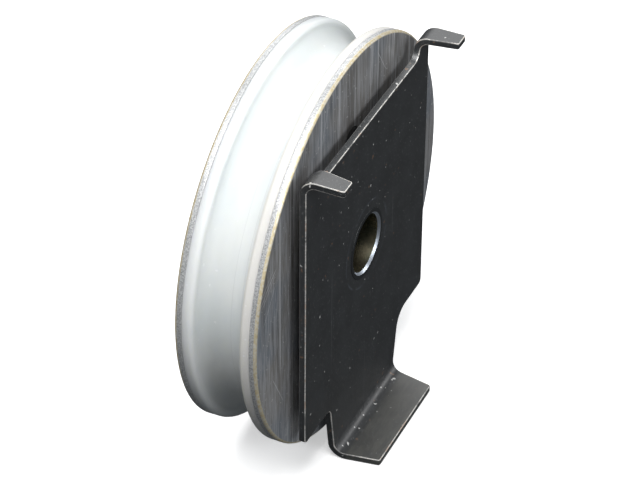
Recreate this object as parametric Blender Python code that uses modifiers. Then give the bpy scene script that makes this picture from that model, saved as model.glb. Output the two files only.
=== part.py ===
"""Grooved sliding door roller on a folded bracket plate.

A nylon wheel with a round groove turns on a ball bearing. The bearing sits on a hollow
bush, and the bush is swaged into a sheet-steel plate with two folded tabs and a folded foot.

Units are metres. +Y is the wheel's axle, pointing from the plate to the wheel, and +Z is up.
The origin is the centre of the bolt hole in the outer face of the plate.
"""
import math

import bmesh
import bpy
from mathutils import Matrix, Vector

# Driving dimensions -------------------------------------------------------------------

CLEARANCE = 0.0003          # gap left between neighbouring pieces

SHEET = 0.0014              # thickness of the plate
PLATE_LEFT = -0.0282
PLATE_RIGHT = 0.0290
PLATE_TOP = 0.0293
PLATE_BOTTOM = -0.0306
PLATE_CORNER = 0.0011       # rounding of the plate's lower corners
TAB_WIDTH = 0.0046
TAB_TAPER = 0.0010          # how much a tab's inner side comes in at its tip
TAB_UNDERSIDE = 0.0329      # height of a folded tab's lower face
TAB_REACH = 0.0078          # how far a tab stands out of the plate's outer face
TAB_CORNER = 0.0005
TAB_NECK_FILLET = 0.0022
TAB_BEND = 0.0020           # inside radius of a tab's fold
FOOT_CENTRE = 0.0005
FOOT_HALF_TOP = 0.0168
FOOT_HALF_TIP = 0.0130
FOOT_TOP_FACE = -0.0440     # height of the folded foot's upper face
FOOT_REACH = 0.0094
FOOT_CORNER = 0.0006
FOOT_BEND = 0.0022
FOOT_LEFT_FILLET = 0.0022
FOOT_RIGHT_FILLET = 0.0042

BOLT_BORE_R = 0.0061        # clears an M12 bolt
BUSH_R = 0.0075
BUSH_SHOULDER_R = 0.0100
BUSH_END = 0.0218           # how far the bush reaches behind the plate's outer face
CIRCLIP_SEAT = 0.0005       # depth of the retaining ring's groove in the bush

WHEEL_FRONT = 0.0036        # front face of the wheel
WHEEL_WIDTH = 0.0179
FRONT_RADIUS = 0.0425       # outer radius of the front flange
REAR_RADIUS = 0.0413
DISC_THICKNESS = 0.0015
DISC_EDGE = 0.0005          # rounding of a side disc's outer edge
DISC_HOLE_R = 0.0130
CREST_WIDTH = 0.0020        # nylon land beside each side disc
CREST_ROUND = 0.0009
GROOVE_BOTTOM_R = 0.0364
GROOVE_HALF_WIDTH = 0.0055
HUB_LIP_R = 0.0144          # nylon lips that hold the bearing
RIVET_COUNT = 6
RIVET_CIRCLE_R = 0.0235
RIVET_R = 0.0022
RIVET_HEAD_R = 0.0034

BEARING_WIDTH = 0.0090
BEARING_R = 0.0160          # outer radius, with the bush making the bore
PITCH_R = 0.01175
BALL_R = 0.00238
BALL_COUNT = 9
OUTER_SHOULDER_R = 0.0134
INNER_SHOULDER_R = 0.0100
SHIELD_SEAT_R = 0.0141
SHIELD_SEAT_DEPTH = 0.0010
SHIELD_THICKNESS = 0.0005
CAGE_SHEET = 0.0005
CAGE_HALF_WIDTH = 0.00085

SPACER_THICKNESS = 0.0015
CIRCLIP_THICKNESS = 0.0010
CIRCLIP_BAND = 0.0019       # radial width of the retaining ring
CIRCLIP_GAP_ANGLE = math.radians(38)

WHEEL_SEGMENTS = 60
HUB_SEGMENTS = 40
RIVET_SEGMENTS = 16
RACEWAY_STEPS = 6
WELD = 1e-6                   # points nearer than this are one point

# Worked out from them -----------------------------------------------------------------

WHEEL_REAR = WHEEL_FRONT + WHEEL_WIDTH
WHEEL_MIDDLE = WHEEL_FRONT + WHEEL_WIDTH / 2
BEARING_HALF = BEARING_WIDTH / 2
RACEWAY_R = BALL_R + CLEARANCE
CIRCLIP_R = BUSH_R + CIRCLIP_BAND
SPACER_START = WHEEL_MIDDLE + BEARING_HALF + CLEARANCE
CIRCLIP_START = SPACER_START + SPACER_THICKNESS + CLEARANCE


# Helpers ------------------------------------------------------------------------------

def start_empty():
    for old in list(bpy.data.objects):
        bpy.data.objects.remove(old, do_unlink=True)


def new_collection(name):
    collection = bpy.data.collections.new(name)
    bpy.context.scene.collection.children.link(collection)
    return collection


def principled(name, colour, metallic, roughness):
    material = bpy.data.materials.new(name)
    material.use_nodes = True
    shader = material.node_tree.nodes["Principled BSDF"]
    shader.inputs["Base Color"].default_value = (*colour, 1.0)
    shader.inputs["Metallic"].default_value = metallic
    shader.inputs["Roughness"].default_value = roughness
    return material


def put(obj, collection, material=None, parent=None):
    """Link an object to its collection, with its material and its parent."""
    for home in list(obj.users_collection):
        home.objects.unlink(obj)
    collection.objects.link(obj)
    if material is not None:
        obj.data.materials.clear()
        obj.data.materials.append(material)
    if parent is not None:
        obj.parent = parent
        obj.matrix_parent_inverse = Matrix.Translation(-parent.location)
    return obj


def empty_at(name, y):
    empty = bpy.data.objects.new(name, None)
    empty.location = (0.0, y, 0.0)
    PART.objects.link(empty)
    return empty


def shade(obj, angle=30.0):
    obj.data.shade_smooth()
    obj.data.set_sharp_from_angle(angle=math.radians(angle))


def arc(centre, radius, start, end, steps):
    """Points on an arc, with both ends; the angles are in degrees."""
    points = []
    for step in range(steps + 1):
        angle = math.radians(start + (end - start) * step / steps)
        points.append((centre[0] + radius * math.cos(angle), centre[1] + radius * math.sin(angle)))
    return points


def turned(name, profile, segments, material, parent=None):
    """A closed profile of (radius, y) points, turned about the axle by a Screw modifier.

    The profile runs down its outer side, from the highest y to the lowest.
    """
    mesh = bpy.data.meshes.new(name)
    shape = bmesh.new()
    verts = [shape.verts.new((radius, 0.0, y)) for radius, y in profile]
    for index, vert in enumerate(verts):
        shape.edges.new((vert, verts[(index + 1) % len(verts)]))
    shape.to_mesh(mesh)
    shape.free()
    obj = bpy.data.objects.new(name, mesh)
    obj.rotation_euler = (-math.pi / 2, 0.0, 0.0)
    screw = obj.modifiers.new("Turn", "SCREW")
    screw.axis = "Z"
    screw.angle = 2 * math.pi
    screw.steps = segments
    screw.render_steps = segments
    screw.use_merge_vertices = True
    screw.merge_threshold = 0.00001
    return put(obj, PART, material, parent)


def cylinder_cutter(name, radius_low, radius_high, y_low, y_high, x, z):
    """A round cutter along +Y, which may taper."""
    bpy.ops.mesh.primitive_cone_add(
        vertices=RIVET_SEGMENTS, radius1=radius_low, radius2=radius_high, depth=y_high - y_low,
        location=(x, (y_low + y_high) / 2, z), rotation=(-math.pi / 2, 0.0, 0.0))
    cutter = bpy.context.object
    cutter.name = name
    cutter.hide_render = True
    cutter.display_type = "WIRE"
    return put(cutter, CUTTERS)


def cut(obj, cutter):
    boolean = obj.modifiers.new("Cut", "BOOLEAN")
    boolean.operation = "DIFFERENCE"
    boolean.solver = "EXACT"
    boolean.object = cutter


def rivet_places():
    for index in range(RIVET_COUNT):
        angle = math.radians(30 + 360 * index / RIVET_COUNT)
        yield index + 1, RIVET_CIRCLE_R * math.cos(angle), RIVET_CIRCLE_R * math.sin(angle)


# Bracket plate ------------------------------------------------------------------------

def rounded_outline(corners):
    """Round each corner (x, z, radius) of a closed outline with an arc of short chords."""
    points = []
    count = len(corners)
    for index, (x, z, radius) in enumerate(corners):
        here = Vector((x, z))
        before = Vector(corners[index - 1][:2]) - here
        after = Vector(corners[(index + 1) % count][:2]) - here
        if radius == 0:
            points.append(here)
            continue
        before.normalize()
        after.normalize()
        half = before.angle(after) / 2
        centre = here + (before + after).normalized() * (radius / math.sin(half))
        start = here + before * (radius / math.tan(half)) - centre
        end = here + after * (radius / math.tan(half)) - centre
        steps = 3 if radius < 0.0015 else 6
        for step in range(steps + 1):
            mixed = start.lerp(end, step / steps)
            points.append(centre + mixed.normalized() * radius)
    return points


def blank_corners():
    """The corners of the flat blank, before its tabs and foot are folded."""
    quarter = math.pi / 2
    tab_fold_end = TAB_UNDERSIDE - TAB_BEND + quarter * TAB_BEND
    tab_tip = tab_fold_end + TAB_REACH - TAB_BEND
    foot_tip = FOOT_TOP_FACE + FOOT_BEND - quarter * FOOT_BEND - (FOOT_REACH - FOOT_BEND)
    left_neck = PLATE_LEFT + TAB_WIDTH
    right_neck = PLATE_RIGHT - TAB_WIDTH
    return [
        (PLATE_LEFT, PLATE_BOTTOM, PLATE_CORNER),
        (PLATE_LEFT, tab_tip, TAB_CORNER),
        (left_neck - TAB_TAPER, tab_tip, TAB_CORNER),
        (left_neck, tab_fold_end, 0),
        (left_neck, PLATE_TOP, TAB_NECK_FILLET),
        (right_neck, PLATE_TOP, TAB_NECK_FILLET),
        (right_neck, tab_fold_end, 0),
        (right_neck + TAB_TAPER, tab_tip, TAB_CORNER),
        (PLATE_RIGHT, tab_tip, TAB_CORNER),
        (PLATE_RIGHT, PLATE_BOTTOM, PLATE_CORNER),
        (FOOT_CENTRE + FOOT_HALF_TOP, PLATE_BOTTOM, FOOT_RIGHT_FILLET),
        (FOOT_CENTRE + FOOT_HALF_TIP, foot_tip, FOOT_CORNER),
        (FOOT_CENTRE - FOOT_HALF_TIP, foot_tip, FOOT_CORNER),
        (FOOT_CENTRE - FOOT_HALF_TOP, PLATE_BOTTOM, FOOT_LEFT_FILLET),
    ]


def folded(distance, radius):
    """Where a point lies after a square fold: (out of the sheet, along the sheet)."""
    angle = min(distance / radius, math.pi / 2)
    straight = max(distance - radius * math.pi / 2, 0.0)
    return radius * (1 - math.cos(angle)) + straight, radius * math.sin(angle)


def score(shape, place, normal):
    everything = shape.verts[:] + shape.edges[:] + shape.faces[:]
    bmesh.ops.bisect_plane(shape, geom=everything, dist=WELD, plane_co=place, plane_no=normal)


def score_roots(shape):
    """Part the foot from the plate, and the plate above the foot's two root points."""
    lowest = [vert.co.x for vert in shape.verts if abs(vert.co.z - PLATE_BOTTOM) < WELD]
    score(shape, (0, 0, PLATE_BOTTOM), (0, 0, 1))
    for x in sorted(lowest)[1:-1]:
        score(shape, (x, 0, 0), (1, 0, 0))
    bmesh.ops.remove_doubles(shape, verts=shape.verts[:], dist=WELD)


def fold_blank(shape):
    """Score the blank across each fold, then fold the tabs and the foot outwards."""
    tab_line = TAB_UNDERSIDE - TAB_BEND
    foot_line = FOOT_TOP_FACE + FOOT_BEND
    steps = 6
    for line, radius, side in ((tab_line, TAB_BEND, 1), (foot_line, FOOT_BEND, -1)):
        for step in range(steps + 1):
            height = line + side * radius * math.pi / 2 * step / steps
            score(shape, (0, 0, height), (0, 0, 1))
    for vert in shape.verts:
        if vert.co.z > tab_line:
            out, along = folded(vert.co.z - tab_line, TAB_BEND)
            vert.co.y = -out
            vert.co.z = tab_line + along
        elif vert.co.z < foot_line:
            out, along = folded(foot_line - vert.co.z, FOOT_BEND)
            vert.co.y = -out
            vert.co.z = foot_line - along


def spline_loop(curve, points):
    spline = curve.splines.new("POLY")
    spline.points.add(len(points) - 1)
    for slot, (x, z) in zip(spline.points, points):
        slot.co = (x, z, 0.0, 1.0)
    spline.use_cyclic_u = True


def flat_mesh(name, loops, extrude=0.0):
    """A filled flat outline, made a mesh; the outline's own z is left at 0."""
    curve = bpy.data.curves.new(name, "CURVE")
    curve.dimensions = "2D"
    curve.fill_mode = "BOTH"
    curve.extrude = extrude
    for points in loops:
        spline_loop(curve, points)
    drawing = bpy.data.objects.new(name + "_drawing", curve)
    PART.objects.link(drawing)
    bpy.context.view_layer.update()
    evaluated = drawing.evaluated_get(bpy.context.evaluated_depsgraph_get())
    mesh = bpy.data.meshes.new_from_object(evaluated)
    mesh.name = name
    bpy.data.objects.remove(drawing, do_unlink=True)
    shape = bmesh.new()
    shape.from_mesh(mesh)
    bmesh.ops.remove_doubles(shape, verts=shape.verts[:], dist=WELD)
    bmesh.ops.dissolve_limit(shape, angle_limit=math.radians(1), verts=shape.verts[:],
                             edges=shape.edges[:])
    return mesh, shape


def make_mounting_plate():
    hole = arc((0.0, 0.0), BUSH_R + CLEARANCE, 0, 360 - 360 / HUB_SEGMENTS, HUB_SEGMENTS - 1)
    mesh, shape = flat_mesh("mounting_plate", [rounded_outline(blank_corners()), hole])
    for vert in shape.verts:
        vert.co = (vert.co.x, 0.0, vert.co.y)
    bmesh.ops.recalc_face_normals(shape, faces=shape.faces[:])
    score_roots(shape)
    fold_blank(shape)
    bmesh.ops.triangulate(shape, faces=shape.faces[:])
    shape.faces.ensure_lookup_table()
    largest = max(shape.faces, key=lambda face: face.calc_area())
    if largest.normal.y > 0:
        bmesh.ops.reverse_faces(shape, faces=shape.faces[:])
    shape.to_mesh(mesh)
    shape.free()
    plate = put(bpy.data.objects.new("mounting_plate", mesh), PART, BLACK_STEEL)
    solidify = plate.modifiers.new("Sheet", "SOLIDIFY")
    solidify.thickness = SHEET
    solidify.offset = -1.0
    return plate


# Axle ---------------------------------------------------------------------------------

def make_axle_bush():
    shoulder_start = SHEET + CLEARANCE
    shoulder_end = WHEEL_MIDDLE - BEARING_HALF - CLEARANCE
    seat_r = BUSH_R - CIRCLIP_SEAT
    seat_end = CIRCLIP_START + CIRCLIP_THICKNESS + CLEARANCE / 2
    chamfer = 0.0003
    turned("axle_bush", [
        (BUSH_R - chamfer, BUSH_END),
        (BUSH_R, BUSH_END - chamfer),
        (BUSH_R, seat_end),
        (seat_r, seat_end),
        (seat_r, CIRCLIP_START - CLEARANCE / 2),
        (BUSH_R, CIRCLIP_START - CLEARANCE / 2),
        (BUSH_R, shoulder_end),
        (BUSH_SHOULDER_R, shoulder_end),
        (BUSH_SHOULDER_R, shoulder_start),
        (BUSH_R, shoulder_start),
        (BUSH_R, chamfer),
        (BUSH_R - chamfer, 0.0),
        (BOLT_BORE_R + chamfer, 0.0),
        (BOLT_BORE_R, chamfer),
        (BOLT_BORE_R, BUSH_END - chamfer),
        (BOLT_BORE_R + chamfer, BUSH_END),
    ], HUB_SEGMENTS, PLATED_STEEL)


def make_rear_spacer():
    turned("rear_spacer", [
        (BUSH_SHOULDER_R, SPACER_START + SPACER_THICKNESS),
        (BUSH_SHOULDER_R, SPACER_START),
        (BUSH_R + CLEARANCE, SPACER_START),
        (BUSH_R + CLEARANCE, SPACER_START + SPACER_THICKNESS),
    ], HUB_SEGMENTS, PLATED_STEEL)


def circlip_outline():
    """An open ring with an eye at each end, seen along the axle."""
    half_gap = math.degrees(CIRCLIP_GAP_ANGLE) / 2
    eye_r = 0.0014
    eye_ring = CIRCLIP_R - 0.0006
    inner_r = BUSH_R - CIRCLIP_SEAT + CLEARANCE
    points = arc((0.0, 0.0), CIRCLIP_R, 270 - half_gap - 12, half_gap + 12 - 90, 40)
    for side in (1, -1):
        angle = math.radians(-90 + side * half_gap)
        centre = (eye_ring * math.cos(angle), eye_ring * math.sin(angle))
        facing = math.degrees(angle)
        if side == 1:
            points += arc(centre, eye_r, facing + 60, facing - 110, 8)
            points += arc((0.0, 0.0), inner_r, half_gap - 88, 270 - half_gap - 2, 40)
        else:
            points += arc(centre, eye_r, facing + 110, facing - 60, 8)
    return points


def make_retaining_ring():
    half_gap = CIRCLIP_GAP_ANGLE / 2
    eyes = []
    for side in (1, -1):
        angle = -math.pi / 2 + side * half_gap
        centre = ((CIRCLIP_R - 0.0006) * math.cos(angle), (CIRCLIP_R - 0.0006) * math.sin(angle))
        eyes.append(arc(centre, 0.0006, 0, 330, 11))
    mesh, shape = flat_mesh("retaining_ring", [circlip_outline()] + eyes, CIRCLIP_THICKNESS / 2)
    bmesh.ops.recalc_face_normals(shape, faces=shape.faces[:])
    shape.to_mesh(mesh)
    shape.free()
    ring = put(bpy.data.objects.new("retaining_ring", mesh), PART, SPRING_STEEL)
    ring.rotation_euler = (math.pi / 2, 0.0, 0.0)
    ring.location = (0.0, CIRCLIP_START + CIRCLIP_THICKNESS / 2, 0.0)


# Wheel --------------------------------------------------------------------------------

def crest(radius, face_y, side):
    """The nylon land beside a side disc and its rounded groove corner, from the face inwards."""
    corner_y = face_y + side * (CREST_WIDTH - CREST_ROUND)
    points = [(radius, face_y)]
    for step in range(4):
        angle = math.pi / 2 * step / 3
        points.append((radius - CREST_ROUND * (1 - math.cos(angle)),
                       corner_y + side * CREST_ROUND * math.sin(angle)))
    return points


def make_nylon_wheel(axis):
    front_y = WHEEL_FRONT + DISC_THICKNESS + CLEARANCE
    rear_y = WHEEL_REAR - DISC_THICKNESS - CLEARANCE
    groove = []
    for angle in range(20, 161, 20):
        turn = math.radians(angle)
        reach = FRONT_RADIUS - CREST_ROUND - GROOVE_BOTTOM_R
        groove.append((GROOVE_BOTTOM_R + reach * (1 - math.sin(turn)),
                       WHEEL_MIDDLE + GROOVE_HALF_WIDTH * math.cos(turn)))
    seat_front = WHEEL_MIDDLE - BEARING_HALF - CLEARANCE
    seat_rear = WHEEL_MIDDLE + BEARING_HALF + CLEARANCE
    profile = crest(REAR_RADIUS, rear_y, -1) + groove
    profile += crest(FRONT_RADIUS, front_y, 1)[::-1]
    profile += [
        (HUB_LIP_R, front_y),
        (HUB_LIP_R, seat_front),
        (BEARING_R + CLEARANCE, seat_front),
        (BEARING_R + CLEARANCE, seat_rear),
        (HUB_LIP_R, seat_rear),
        (HUB_LIP_R, rear_y),
    ]
    wheel = turned("nylon_wheel", profile, WHEEL_SEGMENTS, NYLON, axis)
    for index, x, z in rivet_places():
        hole_r = RIVET_R + CLEARANCE
        cut(wheel, cylinder_cutter(f"nylon_hole_{index}", hole_r, hole_r, 0.0, 0.03, x, z))


def make_side_disc(name, radius, outer_y, side, axis):
    """A steel disc; side is +1 where it lies behind its outer face, -1 in front of it."""
    inner_y = outer_y + side * DISC_THICKNESS
    profile = [
        (radius - DISC_EDGE, outer_y),
        (radius - 0.3 * DISC_EDGE, outer_y + side * 0.3 * DISC_EDGE),
        (radius, outer_y + side * DISC_EDGE),
        (radius, inner_y),
        (DISC_HOLE_R, inner_y),
        (DISC_HOLE_R, outer_y),
    ]
    if side > 0:
        profile.reverse()
    disc = turned(name, profile, WHEEL_SEGMENTS, GROUND_STEEL, axis)
    shank = RIVET_R + CLEARANCE
    head = RIVET_HEAD_R + CLEARANCE
    slope = (head - shank) / DISC_THICKNESS
    past = 0.0005
    for index, x, z in rivet_places():
        wide = head + slope * past
        if side > 0:
            low, high, ends = outer_y - past, inner_y + past, (wide, shank - slope * past)
        else:
            low, high, ends = inner_y - past, outer_y + past, (shank - slope * past, wide)
        cut(disc, cylinder_cutter(f"{name}_hole_{index}", ends[0], ends[1], low, high, x, z))


def make_rivet(index, x, z, axis):
    """A solid rivet with a countersunk head at each end, flush with the side discs."""
    length = WHEEL_WIDTH
    stations = [
        (RIVET_HEAD_R, 0.0),
        (RIVET_R, DISC_THICKNESS),
        (RIVET_R, length - DISC_THICKNESS),
        (RIVET_HEAD_R, length),
    ]
    mesh = bpy.data.meshes.new(f"rivet_{index}")
    shape = bmesh.new()
    bmesh.ops.create_circle(shape, cap_ends=True, segments=RIVET_SEGMENTS, radius=stations[0][0])
    top = shape.faces[:]
    for (radius_before, level_before), (radius, level) in zip(stations, stations[1:]):
        lifted = bmesh.ops.extrude_face_region(shape, geom=top)["geom"]
        ring = [item for item in lifted if isinstance(item, bmesh.types.BMVert)]
        grow = radius / radius_before
        bmesh.ops.scale(shape, verts=ring, vec=(grow, grow, 1.0))
        bmesh.ops.translate(shape, verts=ring, vec=(0.0, 0.0, level - level_before))
        if level_before > 0:
            bmesh.ops.delete(shape, geom=top, context="FACES_ONLY")
        top = [item for item in lifted if isinstance(item, bmesh.types.BMFace)]
    bmesh.ops.recalc_face_normals(shape, faces=shape.faces[:])
    shape.to_mesh(mesh)
    shape.free()
    rivet = bpy.data.objects.new(f"rivet_{index}", mesh)
    rivet.rotation_euler = (-math.pi / 2, 0.0, 0.0)
    rivet.location = (x, WHEEL_FRONT, z)
    put(rivet, PART, RIVET_STEEL, axis)


# Bearing ------------------------------------------------------------------------------

def make_bearing_outer_ring(axis):
    reach = math.degrees(math.asin((OUTER_SHOULDER_R - PITCH_R) / RACEWAY_R))
    raceway = arc((PITCH_R, WHEEL_MIDDLE), RACEWAY_R, reach - 90, 90 - reach, RACEWAY_STEPS)
    seat = BEARING_HALF - SHIELD_SEAT_DEPTH
    chamfer = 0.0006
    turned("bearing_outer_ring", [
        (BEARING_R - chamfer, WHEEL_MIDDLE + BEARING_HALF),
        (BEARING_R, WHEEL_MIDDLE + BEARING_HALF - chamfer),
        (BEARING_R, WHEEL_MIDDLE - BEARING_HALF + chamfer),
        (BEARING_R - chamfer, WHEEL_MIDDLE - BEARING_HALF),
        (SHIELD_SEAT_R, WHEEL_MIDDLE - BEARING_HALF),
        (SHIELD_SEAT_R, WHEEL_MIDDLE - seat),
        (OUTER_SHOULDER_R, WHEEL_MIDDLE - seat),
        *raceway,
        (OUTER_SHOULDER_R, WHEEL_MIDDLE + seat),
        (SHIELD_SEAT_R, WHEEL_MIDDLE + seat),
        (SHIELD_SEAT_R, WHEEL_MIDDLE + BEARING_HALF),
    ], HUB_SEGMENTS, BEARING_STEEL, axis)


def make_bearing_inner_ring():
    reach = math.degrees(math.asin((PITCH_R - INNER_SHOULDER_R) / RACEWAY_R))
    raceway = arc((PITCH_R, WHEEL_MIDDLE), RACEWAY_R, 90 + reach, 270 - reach, RACEWAY_STEPS)
    bore = BUSH_R + CLEARANCE
    turned("bearing_inner_ring", [
        (INNER_SHOULDER_R, WHEEL_MIDDLE + BEARING_HALF),
        *raceway,
        (INNER_SHOULDER_R, WHEEL_MIDDLE - BEARING_HALF),
        (bore, WHEEL_MIDDLE - BEARING_HALF),
        (bore, WHEEL_MIDDLE + BEARING_HALF),
    ], HUB_SEGMENTS, BEARING_STEEL)


def make_shield(name, side, axis):
    near = WHEEL_MIDDLE + side * (BEARING_HALF - SHIELD_SEAT_DEPTH + CLEARANCE)
    far = near + side * SHIELD_THICKNESS
    low, high = min(near, far), max(near, far)
    turned(name, [
        (SHIELD_SEAT_R - CLEARANCE, high),
        (SHIELD_SEAT_R - CLEARANCE, low),
        (INNER_SHOULDER_R + CLEARANCE, low),
        (INNER_SHOULDER_R + CLEARANCE, high),
    ], HUB_SEGMENTS, PLATED_STEEL, axis)


def make_cage_half(name, side, axis):
    """A pressed ribbon that waves over the balls, on one side of the bearing's middle."""
    per_ball = 10
    count = BALL_COUNT * per_ball
    over_ball = BALL_R + CLEARANCE
    mesh = bpy.data.meshes.new(name)
    shape = bmesh.new()
    bmesh.ops.create_circle(shape, cap_ends=False, segments=count, radius=PITCH_R + CAGE_HALF_WIDTH)
    outer_edges = shape.edges[:]
    widened = bmesh.ops.extrude_edge_only(shape, edges=outer_edges)["geom"]
    inner = [item for item in widened if isinstance(item, bmesh.types.BMVert)]
    shrink = (PITCH_R - CAGE_HALF_WIDTH) / (PITCH_R + CAGE_HALF_WIDTH)
    bmesh.ops.scale(shape, verts=inner, vec=(shrink, shrink, 1.0))
    for vert in shape.verts:
        around = math.atan2(vert.co.y, vert.co.x)
        step = 2 * math.pi / BALL_COUNT
        from_ball = (around + step / 2) % step - step / 2
        across = PITCH_R * math.sin(from_ball)
        rise = math.sqrt(max(over_ball ** 2 - across ** 2, 0.0))
        vert.co.z = side * max(rise, CLEARANCE / 2)
    bmesh.ops.recalc_face_normals(shape, faces=shape.faces[:])
    if sum(face.normal.z for face in shape.faces) * side < 0:
        bmesh.ops.reverse_faces(shape, faces=shape.faces[:])
    shape.to_mesh(mesh)
    shape.free()
    half = bpy.data.objects.new(name, mesh)
    half.rotation_euler = (-math.pi / 2, 0.0, 0.0)
    half.location = (0.0, WHEEL_MIDDLE, 0.0)
    solidify = half.modifiers.new("Ribbon", "SOLIDIFY")
    solidify.thickness = CAGE_SHEET
    solidify.offset = 1.0
    put(half, PART, CAGE_STEEL, axis)


def make_ball(index, axis):
    angle = -2 * math.pi * (index - 1) / BALL_COUNT
    bpy.ops.mesh.primitive_uv_sphere_add(
        segments=12, ring_count=8, radius=BALL_R,
        location=(PITCH_R * math.cos(angle), WHEEL_MIDDLE, PITCH_R * math.sin(angle)))
    ball = bpy.context.object
    ball.name = f"ball_{index}"
    ball.data.name = ball.name
    ball.data.shade_smooth()
    put(ball, PART, BALL_STEEL, axis)


# Build --------------------------------------------------------------------------------

start_empty()
PART = new_collection("sliding_door_roller")
CUTTERS = new_collection("cutters")

BLACK_STEEL = principled("black_steel", (0.030, 0.032, 0.034), 0.9, 0.38)
PLATED_STEEL = principled("plated_steel", (0.42, 0.41, 0.36), 1.0, 0.34)
GROUND_STEEL = principled("ground_steel", (0.36, 0.36, 0.37), 1.0, 0.36)
RIVET_STEEL = principled("rivet_steel", (0.40, 0.40, 0.41), 1.0, 0.34)
NYLON = principled("nylon", (0.80, 0.82, 0.80), 0.0, 0.35)
BEARING_STEEL = principled("bearing_steel", (0.55, 0.56, 0.57), 1.0, 0.20)
BALL_STEEL = principled("ball_steel", (0.68, 0.69, 0.70), 1.0, 0.08)
CAGE_STEEL = principled("cage_steel", (0.50, 0.48, 0.44), 1.0, 0.32)
SPRING_STEEL = principled("spring_steel", (0.07, 0.07, 0.08), 0.9, 0.36)

make_mounting_plate()
make_axle_bush()
make_rear_spacer()
make_retaining_ring()

WHEEL_AXIS = empty_at("wheel_axis", WHEEL_MIDDLE)
make_nylon_wheel(WHEEL_AXIS)
make_side_disc("front_side_disc", FRONT_RADIUS, WHEEL_FRONT, 1, WHEEL_AXIS)
make_side_disc("rear_side_disc", REAR_RADIUS, WHEEL_REAR, -1, WHEEL_AXIS)
for number, across, up in rivet_places():
    make_rivet(number, across, up, WHEEL_AXIS)

make_bearing_outer_ring(WHEEL_AXIS)
make_shield("front_shield", -1, WHEEL_AXIS)
make_shield("rear_shield", 1, WHEEL_AXIS)
make_bearing_inner_ring()

CAGE_AXIS = empty_at("cage_axis", WHEEL_MIDDLE)
make_cage_half("cage_front_half", -1, CAGE_AXIS)
make_cage_half("cage_rear_half", 1, CAGE_AXIS)
for number in range(1, BALL_COUNT + 1):
    make_ball(number, CAGE_AXIS)

for piece in PART.objects:
    if piece.type == "MESH" and piece.name != "mounting_plate":
        shade(piece)
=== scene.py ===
# %% [markdown]
# # A sliding door roller
# The roller is a nylon wheel with a round groove, held between two ground steel discs. It turns
# on a ball bearing and a hollow bush, and the bush is swaged into a folded, blackened plate.
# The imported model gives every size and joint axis, so each new piece here is worked out from it.

# %% Load the frame
import math

import bpy
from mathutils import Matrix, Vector


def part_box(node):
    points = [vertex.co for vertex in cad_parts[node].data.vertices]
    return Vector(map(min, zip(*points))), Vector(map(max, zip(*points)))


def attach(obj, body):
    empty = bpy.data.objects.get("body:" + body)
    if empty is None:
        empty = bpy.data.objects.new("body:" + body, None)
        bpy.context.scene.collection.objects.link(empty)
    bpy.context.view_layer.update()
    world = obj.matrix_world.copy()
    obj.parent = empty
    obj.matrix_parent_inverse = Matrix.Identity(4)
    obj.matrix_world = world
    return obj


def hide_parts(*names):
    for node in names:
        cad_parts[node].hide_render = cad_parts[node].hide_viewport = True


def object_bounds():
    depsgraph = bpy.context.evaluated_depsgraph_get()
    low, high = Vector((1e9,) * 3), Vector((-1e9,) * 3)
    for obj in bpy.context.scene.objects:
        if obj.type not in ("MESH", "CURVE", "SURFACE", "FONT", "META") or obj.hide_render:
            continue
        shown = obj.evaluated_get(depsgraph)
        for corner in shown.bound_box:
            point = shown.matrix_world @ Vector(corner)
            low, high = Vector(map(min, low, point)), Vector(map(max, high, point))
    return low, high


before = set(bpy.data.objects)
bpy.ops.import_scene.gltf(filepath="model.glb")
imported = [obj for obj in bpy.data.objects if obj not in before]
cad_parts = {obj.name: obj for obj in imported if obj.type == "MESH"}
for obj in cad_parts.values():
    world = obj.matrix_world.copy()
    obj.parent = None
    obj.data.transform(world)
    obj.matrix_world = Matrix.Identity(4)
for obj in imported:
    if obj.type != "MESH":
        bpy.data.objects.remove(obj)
cad_low, cad_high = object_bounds()

# %% [markdown]
# ## Sizes from the frame
# A node's box gives the sizes of a round piece: half its height is its radius, and its depth
# along Y is its length. What a box can't tell, such as a rounding, is given in millimetres.

# %% Measure the nodes
MM = 0.001


def radius_of(node):
    low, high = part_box(node)
    return (high.z - low.z) / 2


def span_of(node):
    low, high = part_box(node)
    return low.y, high.y


def middle_of(node):
    low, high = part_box(node)
    return (low + high) / 2


wheel_front, front_disc_back = span_of("front_side_disc")
rear_disc_front, wheel_rear = span_of("rear_side_disc")
wheel_middle = (wheel_front + wheel_rear) / 2
front_radius = radius_of("front_side_disc")
rear_radius = radius_of("rear_side_disc")
bearing_front, bearing_rear = span_of("bearing_outer_ring")
bearing_radius = radius_of("bearing_outer_ring")
print("wheel", round(front_radius * 2 / MM, 1), "mm across,",
      round((wheel_rear - wheel_front) / MM, 1), "mm wide")

# %% [markdown]
# ## Working with operators
# Operators act on whatever is selected, and loading the frame leaves its nodes selected. So
# every piece starts with nothing selected, and a helper picks vertices by their place.

# %% Selection helpers


def deselect_all():
    if bpy.context.mode != "OBJECT":
        bpy.ops.object.mode_set(mode="OBJECT")
    bpy.ops.object.select_all(action="DESELECT")


def work_on(obj):
    deselect_all()
    obj.select_set(True)
    bpy.context.view_layer.objects.active = obj
    return obj


def select_vertices(obj, wanted):
    """Enter edit mode with the vertices selected for which wanted(vertex) holds."""
    work_on(obj)
    bpy.ops.object.mode_set(mode="EDIT")
    bpy.ops.mesh.select_mode(type="VERT")
    bpy.ops.mesh.select_all(action="DESELECT")
    bpy.ops.object.mode_set(mode="OBJECT")
    for vert in obj.data.vertices:
        vert.select = wanted(vert)
    bpy.ops.object.mode_set(mode="EDIT")


def settle(obj, angle=35):
    """Put the place in the mesh, leave the object at the origin, and shade it by angle."""
    work_on(obj)
    bpy.ops.object.transform_apply(location=True, rotation=True, scale=True)
    bpy.ops.object.shade_smooth_by_angle(angle=math.radians(angle))
    return obj


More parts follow.
